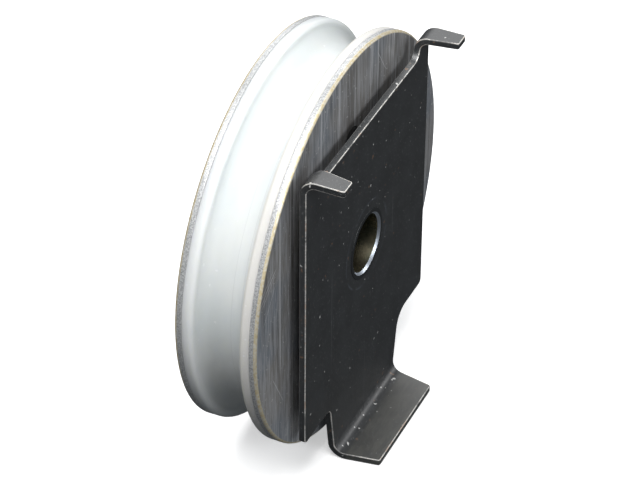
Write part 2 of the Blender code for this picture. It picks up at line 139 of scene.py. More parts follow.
def apply_modifiers(obj):
    work_on(obj)
    for modifier in list(obj.modifiers):
        bpy.ops.object.modifier_apply(modifier=modifier.name)
    return obj


def cut_away(obj, cutter, operation="DIFFERENCE"):
    """Take the cutter's shape out of the piece, or add it, and throw the cutter away."""
    boolean = obj.modifiers.new("Cut", "BOOLEAN")
    boolean.object = cutter
    boolean.operation = operation
    boolean.solver = "EXACT"
    apply_modifiers(obj)
    bpy.data.objects.remove(cutter, do_unlink=True)
    return obj


def copy_of(obj, name):
    """A duplicate with its own mesh."""
    work_on(obj)
    bpy.ops.object.duplicate(linked=False)
    twin = bpy.context.object
    twin.name = name
    twin.data.name = name
    return twin


def place_piece(obj, body, slot, *nodes):
    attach(obj, body)
    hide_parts(*nodes)
    print(obj.name, "stands for", ", ".join(nodes), "with", len(obj.data.polygons), "faces")


# %% [markdown]
# ## Drawing a section
# Most of this object comes off a lathe or out of a flat blank, so both start as a drawn line:
# one vertex is extruded from point to point. Corners are rounded in the drawing, so each
# radius is a true one and needs no bevel afterwards.

# %% Draw a line of points


def rounded(points, steps=5):
    """Replace each corner (x, y, round) with an arc of that rounding."""
    drawn = []
    for index, (x, y, size) in enumerate(points):
        here = Vector((x, y))
        if size == 0:
            drawn.append(here)
            continue
        before = (Vector(points[index - 1][:2]) - here).normalized()
        after = (Vector(points[(index + 1) % len(points)][:2]) - here).normalized()
        half = before.angle(after) / 2
        middle = here + (before + after).normalized() * size / math.sin(half)
        start = here + before * size / math.tan(half) - middle
        end = here + after * size / math.tan(half) - middle
        for step in range(steps + 1):
            drawn.append(middle + start.lerp(end, step / steps).normalized() * size)
    return drawn


def draw_loop(name, points):
    """A closed chain of edges through (x, y) points, left in edit mode and all selected."""
    deselect_all()
    bpy.ops.mesh.primitive_plane_add(size=MM, location=(points[0][0], points[0][1], 0))
    obj = bpy.context.object
    obj.name = name
    obj.data.name = name
    bpy.ops.object.transform_apply(location=True)
    bpy.ops.object.mode_set(mode="EDIT")
    bpy.ops.mesh.select_mode(type="VERT")
    bpy.ops.mesh.select_all(action="SELECT")
    bpy.ops.mesh.merge(type="CENTER")
    for before, after in zip(points, points[1:]):
        move = (after[0] - before[0], after[1] - before[1], 0)
        bpy.ops.mesh.extrude_region_move(TRANSFORM_OT_translate={"value": move})
    last = len(points) - 1
    select_vertices(obj, lambda vert: vert.index in (0, last))
    bpy.ops.mesh.edge_face_add()
    bpy.ops.mesh.select_all(action="SELECT")
    return obj


# %% [markdown]
# ## Turning on a lathe
# Spin carries the drawn section round the axle, as a lathe turns a bar under a shaped tool.
# Its last ring lies on its first, so the two are merged, and the normals are recalculated
# because a spun shell may come out inside out.

# %% Spin a section
weld = 1e-6


def turned(name, section, steps=192):
    """Spin a closed section of (radius, y) points round the axle."""
    obj = draw_loop(name, section)
    bpy.ops.mesh.spin(steps=steps, angle=math.tau, center=(0, 0, 0), axis=(0, 1, 0))
    bpy.ops.mesh.select_all(action="SELECT")
    bpy.ops.mesh.remove_doubles(threshold=weld)
    bpy.ops.mesh.normals_make_consistent(inside=False)
    bpy.ops.object.mode_set(mode="OBJECT")
    return settle(obj)


def drill(radius_low, radius_high, y_low, y_high, x, z, sides=48):
    """A cutter along Y: a cylinder, or a cone where its two radii differ."""
    deselect_all()
    bpy.ops.mesh.primitive_cone_add(
        vertices=sides, radius1=radius_low, radius2=radius_high, depth=y_high - y_low,
        location=(x, (y_low + y_high) / 2, z), rotation=(-math.pi / 2, 0, 0))
    return settle(bpy.context.object)


# %% [markdown]
# ## The nylon wheel
# The wheel is turned or moulded from natural nylon. Its round groove takes a rod-shaped rail,
# and a narrow smooth crest stands on each side. Its bore holds the bearing between two lips.
# The groove is half an ellipse, drawn as points between the two rounded crests.

# %% The nylon wheel's section
joint_gap = 0.03 * MM
rivet_radius = 2.2 * MM
groove_bottom = 36.4 * MM
groove_half = 5.5 * MM
crest_round = 0.9 * MM
crest_end = 5.15 * MM
hub_lip = 14.4 * MM
nylon_front = front_disc_back + joint_gap
nylon_rear = rear_disc_front - joint_gap
reach = front_radius - crest_round - groove_bottom

groove = []
for degrees in range(160, 19, -5):
    turn = math.radians(degrees)
    groove.append((groove_bottom + reach * (1 - math.sin(turn)),
                   wheel_middle + groove_half * math.cos(turn), 0))
bore = bearing_radius + joint_gap
nylon_section = [
    (front_radius - joint_gap, nylon_front, 0.12 * MM),
    (front_radius - joint_gap, wheel_middle - crest_end, crest_round),
    *groove,
    (rear_radius - joint_gap, wheel_middle + crest_end, crest_round),
    (rear_radius - joint_gap, nylon_rear, 0.12 * MM),
    (hub_lip, nylon_rear, 0.15 * MM),
    (hub_lip, bearing_rear + joint_gap, 0.05 * MM),
    (bore, bearing_rear + joint_gap, 0.05 * MM),
    (bore, bearing_front - joint_gap, 0.05 * MM),
    (hub_lip, bearing_front - joint_gap, 0.05 * MM),
    (hub_lip, nylon_front, 0.15 * MM),
]
nylon_wheel = turned("nylon_wheel_turned", rounded(nylon_section))

# %% Its rivet holes
rivet_nodes = [f"rivet_{number}" for number in range(1, 7)]
for node in rivet_nodes:
    place = middle_of(node)
    hole = rivet_radius + joint_gap
    cut_away(nylon_wheel, drill(hole, hole, 0, 30 * MM, place.x, place.z))
settle(nylon_wheel)
place_piece(nylon_wheel, "wheel", "nylon", "nylon_wheel")

# %% [markdown]
# ## The side discs
# Two steel discs guard the nylon. Each is stamped with a softly rolled edge, zinc plated, and
# then ground flat, which leaves bright metal on the face and the yellow plating on the rolled
# edge. Their rivet holes are countersunk, so that the heads can be ground flush.

# %% The side discs
disc_hole = 13.0 * MM
disc_roll = 0.6 * MM
head_radius = 3.4 * MM
disc_thickness = front_disc_back - wheel_front


def side_disc(name, radius, outer_y, inner_y):
    section = [
        (radius, inner_y, 0.08 * MM),
        (radius, outer_y, disc_roll),
        (disc_hole, outer_y, 0.25 * MM),
        (disc_hole, inner_y, 0.10 * MM),
    ]
    disc = turned(name, rounded(section, 6), steps=240)
    wide = head_radius + joint_gap
    narrow = rivet_radius + joint_gap
    past = 0.5 * MM
    slope = (wide - narrow) / disc_thickness * past
    for node in rivet_nodes:
        place = middle_of(node)
        if outer_y < inner_y:
            ends = (wide + slope, narrow - slope, outer_y - past, inner_y + past)
        else:
            ends = (narrow - slope, wide + slope, inner_y - past, outer_y + past)
        cut_away(disc, drill(*ends, place.x, place.z))
    return settle(disc)


front_disc = side_disc("front_disc_ground", front_radius, wheel_front, front_disc_back)
rear_disc = side_disc("rear_disc_ground", rear_radius, wheel_rear, rear_disc_front)
place_piece(front_disc, "wheel", "ground_steel", "front_side_disc")
place_piece(rear_disc, "wheel", "ground_steel", "rear_side_disc")

# %% [markdown]
# ## The rivets
# Six solid rivets clamp the discs to the nylon. One is turned on the axle, with a countersunk
# head at each end, and then copied out to its five neighbours, each copy with its own mesh.

# %% The rivets
rivet_section = [
    (0.0, wheel_front + 0.02 * MM, 0),
    (head_radius, wheel_front + 0.02 * MM, 0.06 * MM),
    (rivet_radius, front_disc_back, 0.2 * MM),
    (rivet_radius, rear_disc_front, 0.2 * MM),
    (head_radius, wheel_rear - 0.02 * MM, 0.06 * MM),
    (0.0, wheel_rear - 0.02 * MM, 0),
]
pattern_rivet = turned("flush_rivet_1", rounded(rivet_section, 4), steps=48)
rivets = [pattern_rivet] + [copy_of(pattern_rivet, f"flush_rivet_{n}") for n in range(2, 7)]
for rivet, node in zip(rivets, rivet_nodes):
    place = middle_of(node)
    rivet.location = (place.x, 0, place.z)
    settle(rivet)
    place_piece(rivet, "wheel", "rivet_steel", node)

# %% [markdown]
# ## The bush
# The bush is a hollow turned part that takes the bolt. Its front end is swaged flush into the
# plate and blackened with it, so that only the bright chamfer of its bore stands out. Behind
# the plate a shoulder carries the bearing, and a groove near its end takes the retaining ring.

# %% The bush
bush_radius = 7.5 * MM
bolt_radius = 6.1 * MM
shoulder_radius = 10.0 * MM
sheet = 1.4 * MM
bush_end = span_of("axle_bush")[1]
ring_front, ring_rear = span_of("retaining_ring")
seat_radius = bush_radius - 0.5 * MM
bush_proud = -0.12 * MM
bush_section = [
    (bolt_radius + 0.5 * MM, bush_proud, 0.05 * MM),
    (bush_radius - 0.02 * MM, bush_proud, 0.12 * MM),
    (bush_radius - 0.02 * MM, sheet + 0.05 * MM, 0),
    (shoulder_radius, sheet + 0.05 * MM, 0.3 * MM),
    (shoulder_radius, bearing_front - 0.05 * MM, 0.3 * MM),
    (bush_radius, bearing_front - 0.05 * MM, 0.1 * MM),
    (bush_radius, ring_front - 0.05 * MM, 0.05 * MM),
    (seat_radius, ring_front - 0.05 * MM, 0.05 * MM),
    (seat_radius, ring_rear + 0.05 * MM, 0.05 * MM),
    (bush_radius, ring_rear + 0.05 * MM, 0.05 * MM),
    (bush_radius, bush_end, 0.35 * MM),
    (bolt_radius + 0.4 * MM, bush_end, 0.05 * MM),
    (bolt_radius, bush_end - 0.4 * MM, 0.1 * MM),
    (bolt_radius, bush_proud + 0.5 * MM, 0.1 * MM),
]
bush = turned("swaged_bush", rounded(bush_section, 4), steps=144)
place_piece(bush, "bracket", "plated_steel", "axle_bush")

# %% [markdown]
# ## The bearing, its shields and the spacer
# The bearing is a common one, 15 by 32 by 9 mm. Its rings are ground, with a raceway arc in
# each, and two thin pressed shields hide the balls. A flat spacer lies between the inner ring
# and the retaining ring. The hidden cage and balls keep the shapes that the frame gives.

# %% The bearing rings
pitch_radius = 11.75 * MM
raceway_radius = 2.68 * MM
shield_recess = 1.0 * MM
shield_seat = 14.1 * MM
outer_shoulder = 13.4 * MM
inner_shoulder = 10.0 * MM
bearing_bore = bush_radius + 0.05 * MM


def raceway(shoulder, outside):
    """The arc of a raceway between its two shoulders, drawn from front to rear."""
    lift = math.asin((shoulder - pitch_radius) / raceway_radius)
    arc = []
    for step in range(13):
        turn = lift + (math.pi - 2 * lift) * step / 12
        if not outside:
            turn = -turn + 2 * lift
        arc.append((pitch_radius + raceway_radius * math.sin(turn),
                    wheel_middle - raceway_radius * math.cos(turn), 0))
    return arc


outer_section = [
    (bearing_radius, bearing_front, 0.6 * MM),
    (bearing_radius, bearing_rear, 0.6 * MM),
    (shield_seat, bearing_rear, 0.1 * MM),
    (shield_seat, bearing_rear - shield_recess, 0.05 * MM),
    (outer_shoulder, bearing_rear - shield_recess, 0.1 * MM),
    *reversed(raceway(outer_shoulder, True)),
    (outer_shoulder, bearing_front + shield_recess, 0.1 * MM),
    (shield_seat, bearing_front + shield_recess, 0.05 * MM),
    (shield_seat, bearing_front, 0.1 * MM),
]
outer_ring = turned("outer_ring_ground", rounded(outer_section, 3), steps=128)
place_piece(outer_ring, "wheel", "bearing_steel", "bearing_outer_ring")

inner_section = [
    (inner_shoulder, bearing_front, 0.2 * MM),
    *raceway(inner_shoulder, False),
    (inner_shoulder, bearing_rear, 0.2 * MM),
    (bearing_bore, bearing_rear, 0.3 * MM),
    (bearing_bore, bearing_front, 0.3 * MM),
]
inner_ring = turned("inner_ring_ground", rounded(inner_section, 3), steps=128)
place_piece(inner_ring, "bracket", "bearing_steel", "bearing_inner_ring")

# %% The shields and the spacer


def shield(name, node):
    """A pressed shield: a flat ring with a shallow step and a rounded inner lip."""
    low, high = span_of(node)
    outward = 1 if low > wheel_middle else -1
    face, back = (high, low) if outward > 0 else (low, high)
    dip = outward * 0.15 * MM
    rim, lip = 13.8 * MM, 10.35 * MM
    section = [
        (rim, face, 0.1 * MM),
        (rim, back, 0.1 * MM),
        (lip, back, 0.1 * MM),
        (lip, face, 0.15 * MM),
        (11.2 * MM, face, 0.1 * MM),
        (11.4 * MM, face - dip, 0.1 * MM),
        (12.9 * MM, face - dip, 0.1 * MM),
        (13.1 * MM, face, 0.1 * MM),
    ]
    return turned(name, rounded(section, 3), steps=128)


shields = [shield("front_shield_pressed", "front_shield"), shield("rear_shield_pressed", "rear_shield")]
for pressed, node in zip(shields, ("front_shield", "rear_shield")):
    place_piece(pressed, "wheel", "plated_steel", node)

spacer_front, spacer_rear = span_of("rear_spacer")
spacer_section = [
    (bush_radius + 0.2 * MM, spacer_front, 0.15 * MM),
    (shoulder_radius, spacer_front, 0.3 * MM),
    (shoulder_radius, spacer_rear, 0.3 * MM),
    (bush_radius + 0.2 * MM, spacer_rear, 0.15 * MM),
]
spacer = turned("rear_spacer_turned", rounded(spacer_section, 4), steps=96)
place_piece(spacer, "bracket", "plated_steel", "rear_spacer")

# %% [markdown]
# ## The retaining ring
# This spring ring is stamped from sheet. Its band is spun only part of the way round, which
# leaves the gap at the bottom, and a small eye for the pliers is joined on at each end.

# %% The retaining ring
ring_radius = radius_of("retaining_ring")
ring_inner = seat_radius + 0.1 * MM
half_gap = math.radians(19)
band = [
    (ring_inner, ring_front + 0.01 * MM),
    (ring_radius - 0.1 * MM, ring_front + 0.01 * MM),
    (ring_radius - 0.1 * MM, ring_rear - 0.01 * MM),
    (ring_inner, ring_rear - 0.01 * MM),
]
clip = draw_loop("retaining_ring_stamped", [Vector(point) for point in band])
bpy.ops.mesh.edge_face_add()
bpy.ops.mesh.spin(steps=96, angle=math.tau - 2 * half_gap, center=(0, 0, 0), axis=(0, 1, 0))
bpy.ops.mesh.select_all(action="SELECT")
bpy.ops.mesh.remove_doubles(threshold=weld)
bpy.ops.mesh.normals_make_consistent(inside=False)
bpy.ops.object.mode_set(mode="OBJECT")
ends = sorted(((v.co.x, v.co.z) for v in clip.data.vertices), key=lambda end: -end[0])
print("ring drawn from", [round(value / MM, 2) for value in ends[0]])

# %% Round the band onto its gap and add the eyes
middle_turn = math.pi / 2 - half_gap
work_on(clip)
clip.rotation_euler = (0, middle_turn, 0)
settle(clip)
eye_circle = ring_radius - 0.6 * MM
eye_radius = 1.3 * MM
eye_hole = 0.6 * MM
for side in (-1, 1):
    turn = -math.pi / 2 + side * half_gap
    x = eye_circle * math.cos(turn)
    z = eye_circle * math.sin(turn)
    eye = drill(eye_radius, eye_radius, ring_front + 0.01 * MM, ring_rear - 0.01 * MM, x, z)
    cut_away(clip, eye, "UNION")
    cut_away(clip, drill(eye_hole, eye_hole, ring_front - MM, ring_rear + MM, x, z, 24))
stamped = clip.modifiers.new("Stamped edge", "BEVEL")
stamped.width = 0.08 * MM
stamped.segments = 2
stamped.limit_method = "ANGLE"
stamped.angle_limit = math.radians(50)
apply_modifiers(clip)
settle(clip)
place_piece(clip, "bracket", "spring_steel", "retaining_ring")

# %% [markdown]
# ## The folded plate
# The bracket is cut flat from 1.4 mm sheet and folded three times: two narrow tabs at the top
# and a wide foot at the bottom. It is made here in the same order. Its outline is drawn flat
# and filled, scored across the folds, turned a little at each score, and given its thickness
# last, so that the sheet keeps one gauge round every bend.

# %% The flat blank
plate_low, plate_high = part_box("mounting_plate")
tab_bend = 2.0 * MM
foot_bend = 2.2 * MM
tab_line = plate_high.z - sheet - tab_bend
foot_line = plate_low.z + sheet + foot_bend
quarter = math.pi / 2
tab_fold_end = tab_line + quarter * tab_bend
tab_reach = 7.8 * MM
foot_reach = -plate_low.y
tab_tip = tab_fold_end + tab_reach - tab_bend
foot_tip = foot_line - quarter * foot_bend - (foot_reach - foot_bend)
left, right = plate_low.x, plate_high.x
plate_top = 29.3 * MM
plate_bottom = -30.6 * MM
tab_width = 4.6 * MM
tab_taper = 1.0 * MM
foot_middle = 0.5 * MM
foot_root = 16.8 * MM
foot_end = 13.0 * MM

outline = rounded([
    (left, plate_bottom, 1.1 * MM),
    (left, tab_tip, 0.5 * MM),
    (left + tab_width - tab_taper, tab_tip, 0.5 * MM),
    (left + tab_width, tab_fold_end, 0),
    (left + tab_width, plate_top, 2.2 * MM),
    (right - tab_width, plate_top, 2.2 * MM),
    (right - tab_width, tab_fold_end, 0),
    (right - tab_width + tab_taper, tab_tip, 0.5 * MM),
    (right, tab_tip, 0.5 * MM),
    (right, plate_bottom, 1.1 * MM),
    (foot_middle + foot_root, plate_bottom, 4.2 * MM),
    (foot_middle + foot_end, foot_tip, 0.6 * MM),
    (foot_middle - foot_end, foot_tip, 0.6 * MM),
    (foot_middle - foot_root, plate_bottom, 2.2 * MM),
], 8)
plate = draw_loop("folded_plate", outline)
bpy.ops.mesh.edge_face_add()
bpy.ops.object.mode_set(mode="OBJECT")
plate.rotation_euler = (math.pi / 2, 0, 0)
settle(plate)
print("blank", round((tab_tip - foot_tip) / MM, 1), "mm long before folding")

# %% Score it and fold it
folds = 12


def fold(obj, line, side, radius):
    """Turn the sheet beyond a fold line a little at each score, its tip first."""
    step = math.radians(90 / folds)
    chord = 2 * radius * math.sin(step / 2)
    scores = [line + side * chord * number for number in range(folds + 1)]
    for height in scores:
        select_vertices(obj, lambda vert: True)
        bpy.ops.mesh.select_all(action="SELECT")
        bpy.ops.mesh.bisect(plane_co=(0, 0, height), plane_no=(0, 0, 1), threshold=1e-7)
    bpy.ops.object.mode_set(mode="OBJECT")
    flat = [vert.co.z for vert in obj.data.vertices]
    for number in range(folds, -1, -1):
        height = scores[number]
        turn = step / 2 if number in (0, folds) else step
        select_vertices(obj, lambda vert: side * (flat[vert.index] - height) > weld)
        bpy.ops.transform.rotate(value=-side * turn, orient_axis="X",
                                 center_override=(0, 0, height))
    bpy.ops.object.mode_set(mode="OBJECT")
    print("folded", folds, "times from", round(line / MM, 1), "mm")


fold(plate, tab_line, 1, tab_bend)
fold(plate, foot_line, -1, foot_bend)
low = [min(vert.co[axis] for vert in plate.data.vertices) / MM for axis in range(3)]
high = [max(vert.co[axis] for vert in plate.data.vertices) / MM for axis in range(3)]
print("folded sheet from", [round(v, 2) for v in low], "to", [round(v, 2) for v in high])

# %% [markdown]
# ## Thickness, worn edges and the hole
# Solidify gives the sheet its gauge, away from the outer face. A very small bevel then stands
# for edges that handling has rubbed bright, and it puts its own faces in a second material.
# The hole comes last, because the bush fills it flush and its joint is only a thin line.

# %% Finish the plate
solid = plate.modifiers.new("Sheet", "SOLIDIFY")
solid.thickness = sheet
solid.offset = -1.0
apply_modifiers(plate)
black_satin = bpy.data.materials.new("black_satin")
worn_edge = bpy.data.materials.new("worn_edge")
for material in (black_satin, worn_edge):
    plate.data.materials.append(material)
bevel = plate.modifiers.new("Worn edge", "BEVEL")
bevel.width = 0.17 * MM
bevel.segments = 2
bevel.limit_method = "ANGLE"
bevel.angle_limit = math.radians(50)
bevel.material = 1
bevel.use_clamp_overlap = False
apply_modifiers(plate)
cut_away(plate, drill(bush_radius, bush_radius, -MM, 3 * MM, 0, 0, 144))
settle(plate)
weighted = plate.modifiers.new("Flat shading", "WEIGHTED_NORMAL")
weighted.keep_sharp = True
apply_modifiers(plate)
place_piece(plate, "bracket", "black_steel", "mounting_plate")
low = [min(vert.co[axis] for vert in plate.data.vertices) / MM for axis in range(3)]
high = [max(vert.co[axis] for vert in plate.data.vertices) / MM for axis in range(3)]
print("plate from", [round(v, 2) for v in low], "to", [round(v, 2) for v in high])
print("worn faces:", sum(face.material_index == 1 for face in plate.data.polygons))

# %% [markdown]
# ## Mixing paints
# A finish is a small sum of patterns: noise for grain and dust, thin stretched noise for
# scratches, and the distance from the axle for everything a lathe left. The class below wraps
# a node's output, so that such sums can be written as plain arithmetic.

# %% A signal and a paint


class Signal:
    """A node's output; arithmetic on it adds Math nodes."""

    def __init__(self, paint, socket):
        self.paint = paint
        self.socket = socket

    def maths(self, operation, first, second=0.0):
        return self.paint.node("ShaderNodeMath", {"operation": operation}, {0: first, 1: second})

    def __add__(self, other):
        return self.maths("ADD", self, other)

    def __radd__(self, other):
        return self.maths("ADD", other, self)

    def __sub__(self, other):
        return self.maths("SUBTRACT", self, other)

    def __rsub__(self, other):
        return self.maths("SUBTRACT", other, self)

    def __mul__(self, other):
        return self.maths("MULTIPLY", self, other)

    def __rmul__(self, other):
        return self.maths("MULTIPLY", other, self)

    def __pow__(self, other):
        return self.maths("POWER", self, other)

    def __abs__(self):
        return self.maths("ABSOLUTE", self)


class Paint:
    """A material with one Principled shader and helpers for its patterns."""

    def __init__(self, name, **constants):
        self.material = bpy.data.materials.get(name) or bpy.data.materials.new(name)
        self.material.use_nodes = True
        self.tree = self.material.node_tree
        self.shader = self.tree.nodes["Principled BSDF"]
        for socket, value in constants.items():
            self.shader.inputs[socket.replace("_", " ")].default_value = value
        self.place = self.node("ShaderNodeTexCoord", {}, {}, "Object")
        self.x, self.y, self.z = self.axes(self.place)

    def node(self, kind, settings, sockets, output=0):
        """Add a node: its settings first, then the values or links of its sockets."""
        made = self.tree.nodes.new(kind)
        for setting, value in settings.items():
            setattr(made, setting, value)
        for key, value in sockets.items():
            if isinstance(value, Signal):
                self.tree.links.new(value.socket, made.inputs[key])
            else:
                made.inputs[key].default_value = value
        return Signal(self, made.outputs[output])

    def axes(self, vector):
        parts = self.node("ShaderNodeSeparateXYZ", {}, {0: vector})
        outputs = parts.socket.node.outputs
        return [Signal(self, outputs[axis]) for axis in "XYZ"]

    def radius(self):
        """Distance from the axle, in metres."""
        return (self.x * self.x + self.z * self.z) ** 0.5

    def stretched(self, stretch, turn=(0, 0, 0)):
        return self.node("ShaderNodeMapping", {}, {
            "Vector": self.place, "Scale": stretch, "Rotation": turn})

    def noise(self, scale, detail=2.0, rough=0.5, at=None):
        return self.node("ShaderNodeTexNoise", {}, {
            "Vector": at or self.place, "Scale": scale, "Detail": detail, "Roughness": rough})

    def step(self, value, low, high):
        """0 below low, 1 above high, and smooth between; low may be the larger."""
        return self.node("ShaderNodeMapRange", {"interpolation_type": "SMOOTHSTEP"}, {
            "Value": value, "From Min": low, "From Max": high})

    def band(self, value, centre, half, soft):
        """1 within half of the centre, fading out over soft."""
        return self.step(abs(value - centre), half + soft, half)

    def mix(self, factor, first, second):
        def colour(value):
            return value if isinstance(value, Signal) else (*value, 1)
        return self.node("ShaderNodeMix", {"data_type": "RGBA"}, {
            0: factor, 6: colour(first), 7: colour(second)}, 2)

    def bump(self, height, distance, strength=1.0):
        bumped = self.node("ShaderNodeBump", {}, {
            "Height": height, "Distance": distance, "Strength": strength})
        self.feed("Normal", bumped)

    def feed(self, socket, signal):
        self.tree.links.new(signal.socket, self.shader.inputs[socket])


def wear(obj, *materials):
    """Put materials in a piece's slots, in order."""
    for index, material in enumerate(materials):
        if index < len(obj.data.materials):
            obj.data.materials[index] = material
        else:
            obj.data.materials.append(material)
    print(obj.name, "wears", ", ".join(material.name for material in materials))


# %% [markdown]
# ## Natural nylon
# Light goes a few millimetres into unfilled nylon and comes out again, so its shadows are soft
# and its crests glow. The tool leaves faint rings round the groove, and handling leaves specks.

# %% Nylon
nylon = Paint("natural_nylon", Metallic=0.0, IOR=1.53)
nylon.shader.inputs["Subsurface Weight"].default_value = 0.85
nylon.shader.inputs["Subsurface Radius"].default_value = (1.0, 1.0, 0.9)
nylon.shader.inputs["Subsurface Scale"].default_value = 2.2 * MM
r = nylon.radius()
cloud = nylon.noise(70, 3)
warm = nylon.step(nylon.y, wheel_middle - 4.4 * MM, wheel_middle - 5.6 * MM)
cool = nylon.mix(nylon.step(cloud, 0.35, 0.65), (0.74, 0.775, 0.775), (0.79, 0.81, 0.80))
base = nylon.mix(warm * 0.85, cool, (0.80, 0.78, 0.73))
specks = nylon.step(nylon.noise(900, 1), 0.735, 0.76)
base = nylon.mix(specks * 0.5, base, (0.95, 0.96, 0.96))
rings = nylon.noise(2600, 2, 0.6, nylon.node("ShaderNodeCombineXYZ", {}, {0: r, 1: nylon.y}))
tool_line = nylon.band(nylon.y, wheel_middle - 0.7 * MM, 0.02 * MM, 0.10 * MM)
tool_line_2 = nylon.band(nylon.y, wheel_middle - 3.1 * MM, 0.02 * MM, 0.09 * MM)
lines = tool_line * 0.6 + tool_line_2
base = nylon.mix(lines * 0.35, base, (0.50, 0.52, 0.53))
nylon.feed("Base Color", base)
nylon.feed("Roughness", 0.34 + 0.16 * nylon.step(rings, 0.3, 0.7))
nylon.bump(rings * 0.5 - lines * 1.2 + cloud * 0.4, 0.02 * MM, 0.6)
wear(nylon_wheel, nylon.material)

# %% [markdown]
# ## Ground steel with a zinc edge
# A belt grinder leaves fine straight lines across the whole face and a few long deep ones. The
# belt can't reach the rolled edge, so the yellow zinc stays there, and the stamped rim behind
# it keeps a coarse broken grain.

# %% Ground steel
# Each deep scratch has a place (x, z), a slope in degrees and a length.
DEEP_SCRATCHES = [
    (-37.1 * MM, 13.9 * MM, 34, 11 * MM),
    (-36.6 * MM, 13.2 * MM, 37, 9 * MM),
    (-37.6 * MM, 15.0 * MM, 33, 8 * MM),
    (-36.0 * MM, 14.9 * MM, 31, 6 * MM),
    (-36.5 * MM, 9.5 * MM, 52, 10 * MM),
    (-12.0 * MM, 36.0 * MM, 70, 12 * MM),
    (14.0 * MM, 34.0 * MM, -58, 9 * MM),
    (-33.0 * MM, -14.0 * MM, -62, 12 * MM),
]


def ground_steel(name, radius, outer_y, inner_y):
    side = 1 if inner_y > outer_y else -1
    paint = Paint(name, Metallic=0.5)
    r = paint.radius()
    depth = (paint.y - outer_y) * side
    lay = paint.stretched((1.0, 1.0, 0.07), (0, math.radians(12), 0))
    fine = paint.noise(2600, 3, 0.7, lay)
    broad = paint.noise(420, 2, 0.5, lay)
    cross = paint.noise(1900, 2, 0.6, paint.stretched((1.0, 1.0, 0.05), (0, math.radians(-24), 0)))
    long_lay = paint.stretched((1.0, 1.0, 0.012), (0, math.radians(-34), 0))
    scratch = paint.step(paint.noise(820, 1, 0.5, long_lay), 0.645, 0.69)
    deep_lay = paint.stretched((1.0, 1.0, 0.02), (0, math.radians(6), 0))
    deep = paint.step(paint.noise(900, 1, 0.5, deep_lay), 0.66, 0.70)
    stain = paint.noise(55, 3)
    specks = paint.step(paint.noise(1500, 1), 0.72, 0.75)
    for x, z, degrees, length in DEEP_SCRATCHES:
        slope = math.radians(degrees)
        along = (paint.x - x) * math.cos(slope) + (paint.z - z) * math.sin(slope)
        across = (paint.z - z) * math.cos(slope) - (paint.x - x) * math.sin(slope)
        line = paint.band(across + stain * 0.3 * MM, 0.15 * MM, 0.02 * MM, 0.07 * MM)
        scratch = scratch + line * paint.band(along, 0.0, length * 0.3, length * 0.2)
    scratch = paint.step(scratch, 0.0, 1.0)
    steel = paint.mix(paint.step(stain, 0.4, 0.62), (0.40, 0.385, 0.365), (0.33, 0.365, 0.41))
    steel = paint.mix(paint.step(fine, 0.42, 0.60) * 0.7, steel, (0.62, 0.63, 0.65))
    steel = paint.mix(paint.step(broad, 0.45, 0.65) * 0.5, steel, (0.13, 0.12, 0.115))
    steel = paint.mix(paint.step(cross, 0.52, 0.64) * 0.45, steel, (0.66, 0.67, 0.69))
    steel = paint.mix(scratch * 0.9 + deep * 0.6, steel, (0.95, 0.96, 0.98))
    steel = paint.mix(specks * 0.7, steel, (0.95, 0.95, 0.93))
    zinc_grain = paint.noise(1400, 3, 0.6)
    zinc = paint.mix(paint.step(zinc_grain, 0.35, 0.65), (0.74, 0.63, 0.38), (0.84, 0.79, 0.67))
    grit = paint.noise(3400, 2, 0.7)
    rim = paint.mix(paint.step(grit, 0.42, 0.60), (0.46, 0.47, 0.48), (0.74, 0.75, 0.75))
    rim = paint.mix(paint.step(grit, 0.40, 0.30) * 0.4, rim, (0.26, 0.24, 0.22))
    on_edge = paint.step(r, radius - 0.55 * MM, radius - 0.42 * MM)
    on_rim = paint.step(depth, 0.50 * MM, 0.62 * MM) * paint.step(r, radius - MM, radius - 0.5 * MM)
    colour = paint.mix(on_edge, steel, zinc)
    paint.feed("Base Color", paint.mix(on_rim, colour, rim))
    paint.feed("Roughness", 0.30 + 0.10 * paint.step(broad, 0.3, 0.7) + 0.12 * on_edge)
    height = fine * 0.7 + cross * 0.3 - scratch * 0.8 - deep * 0.6
    paint.bump(height * (1 - on_edge) + grit * on_edge * 0.8, 0.02 * MM, 0.55)
    return paint.material


wear(front_disc, ground_steel("ground_front", front_radius, wheel_front, front_disc_back))
wear(rear_disc, ground_steel("ground_rear", rear_radius, wheel_rear, rear_disc_front))
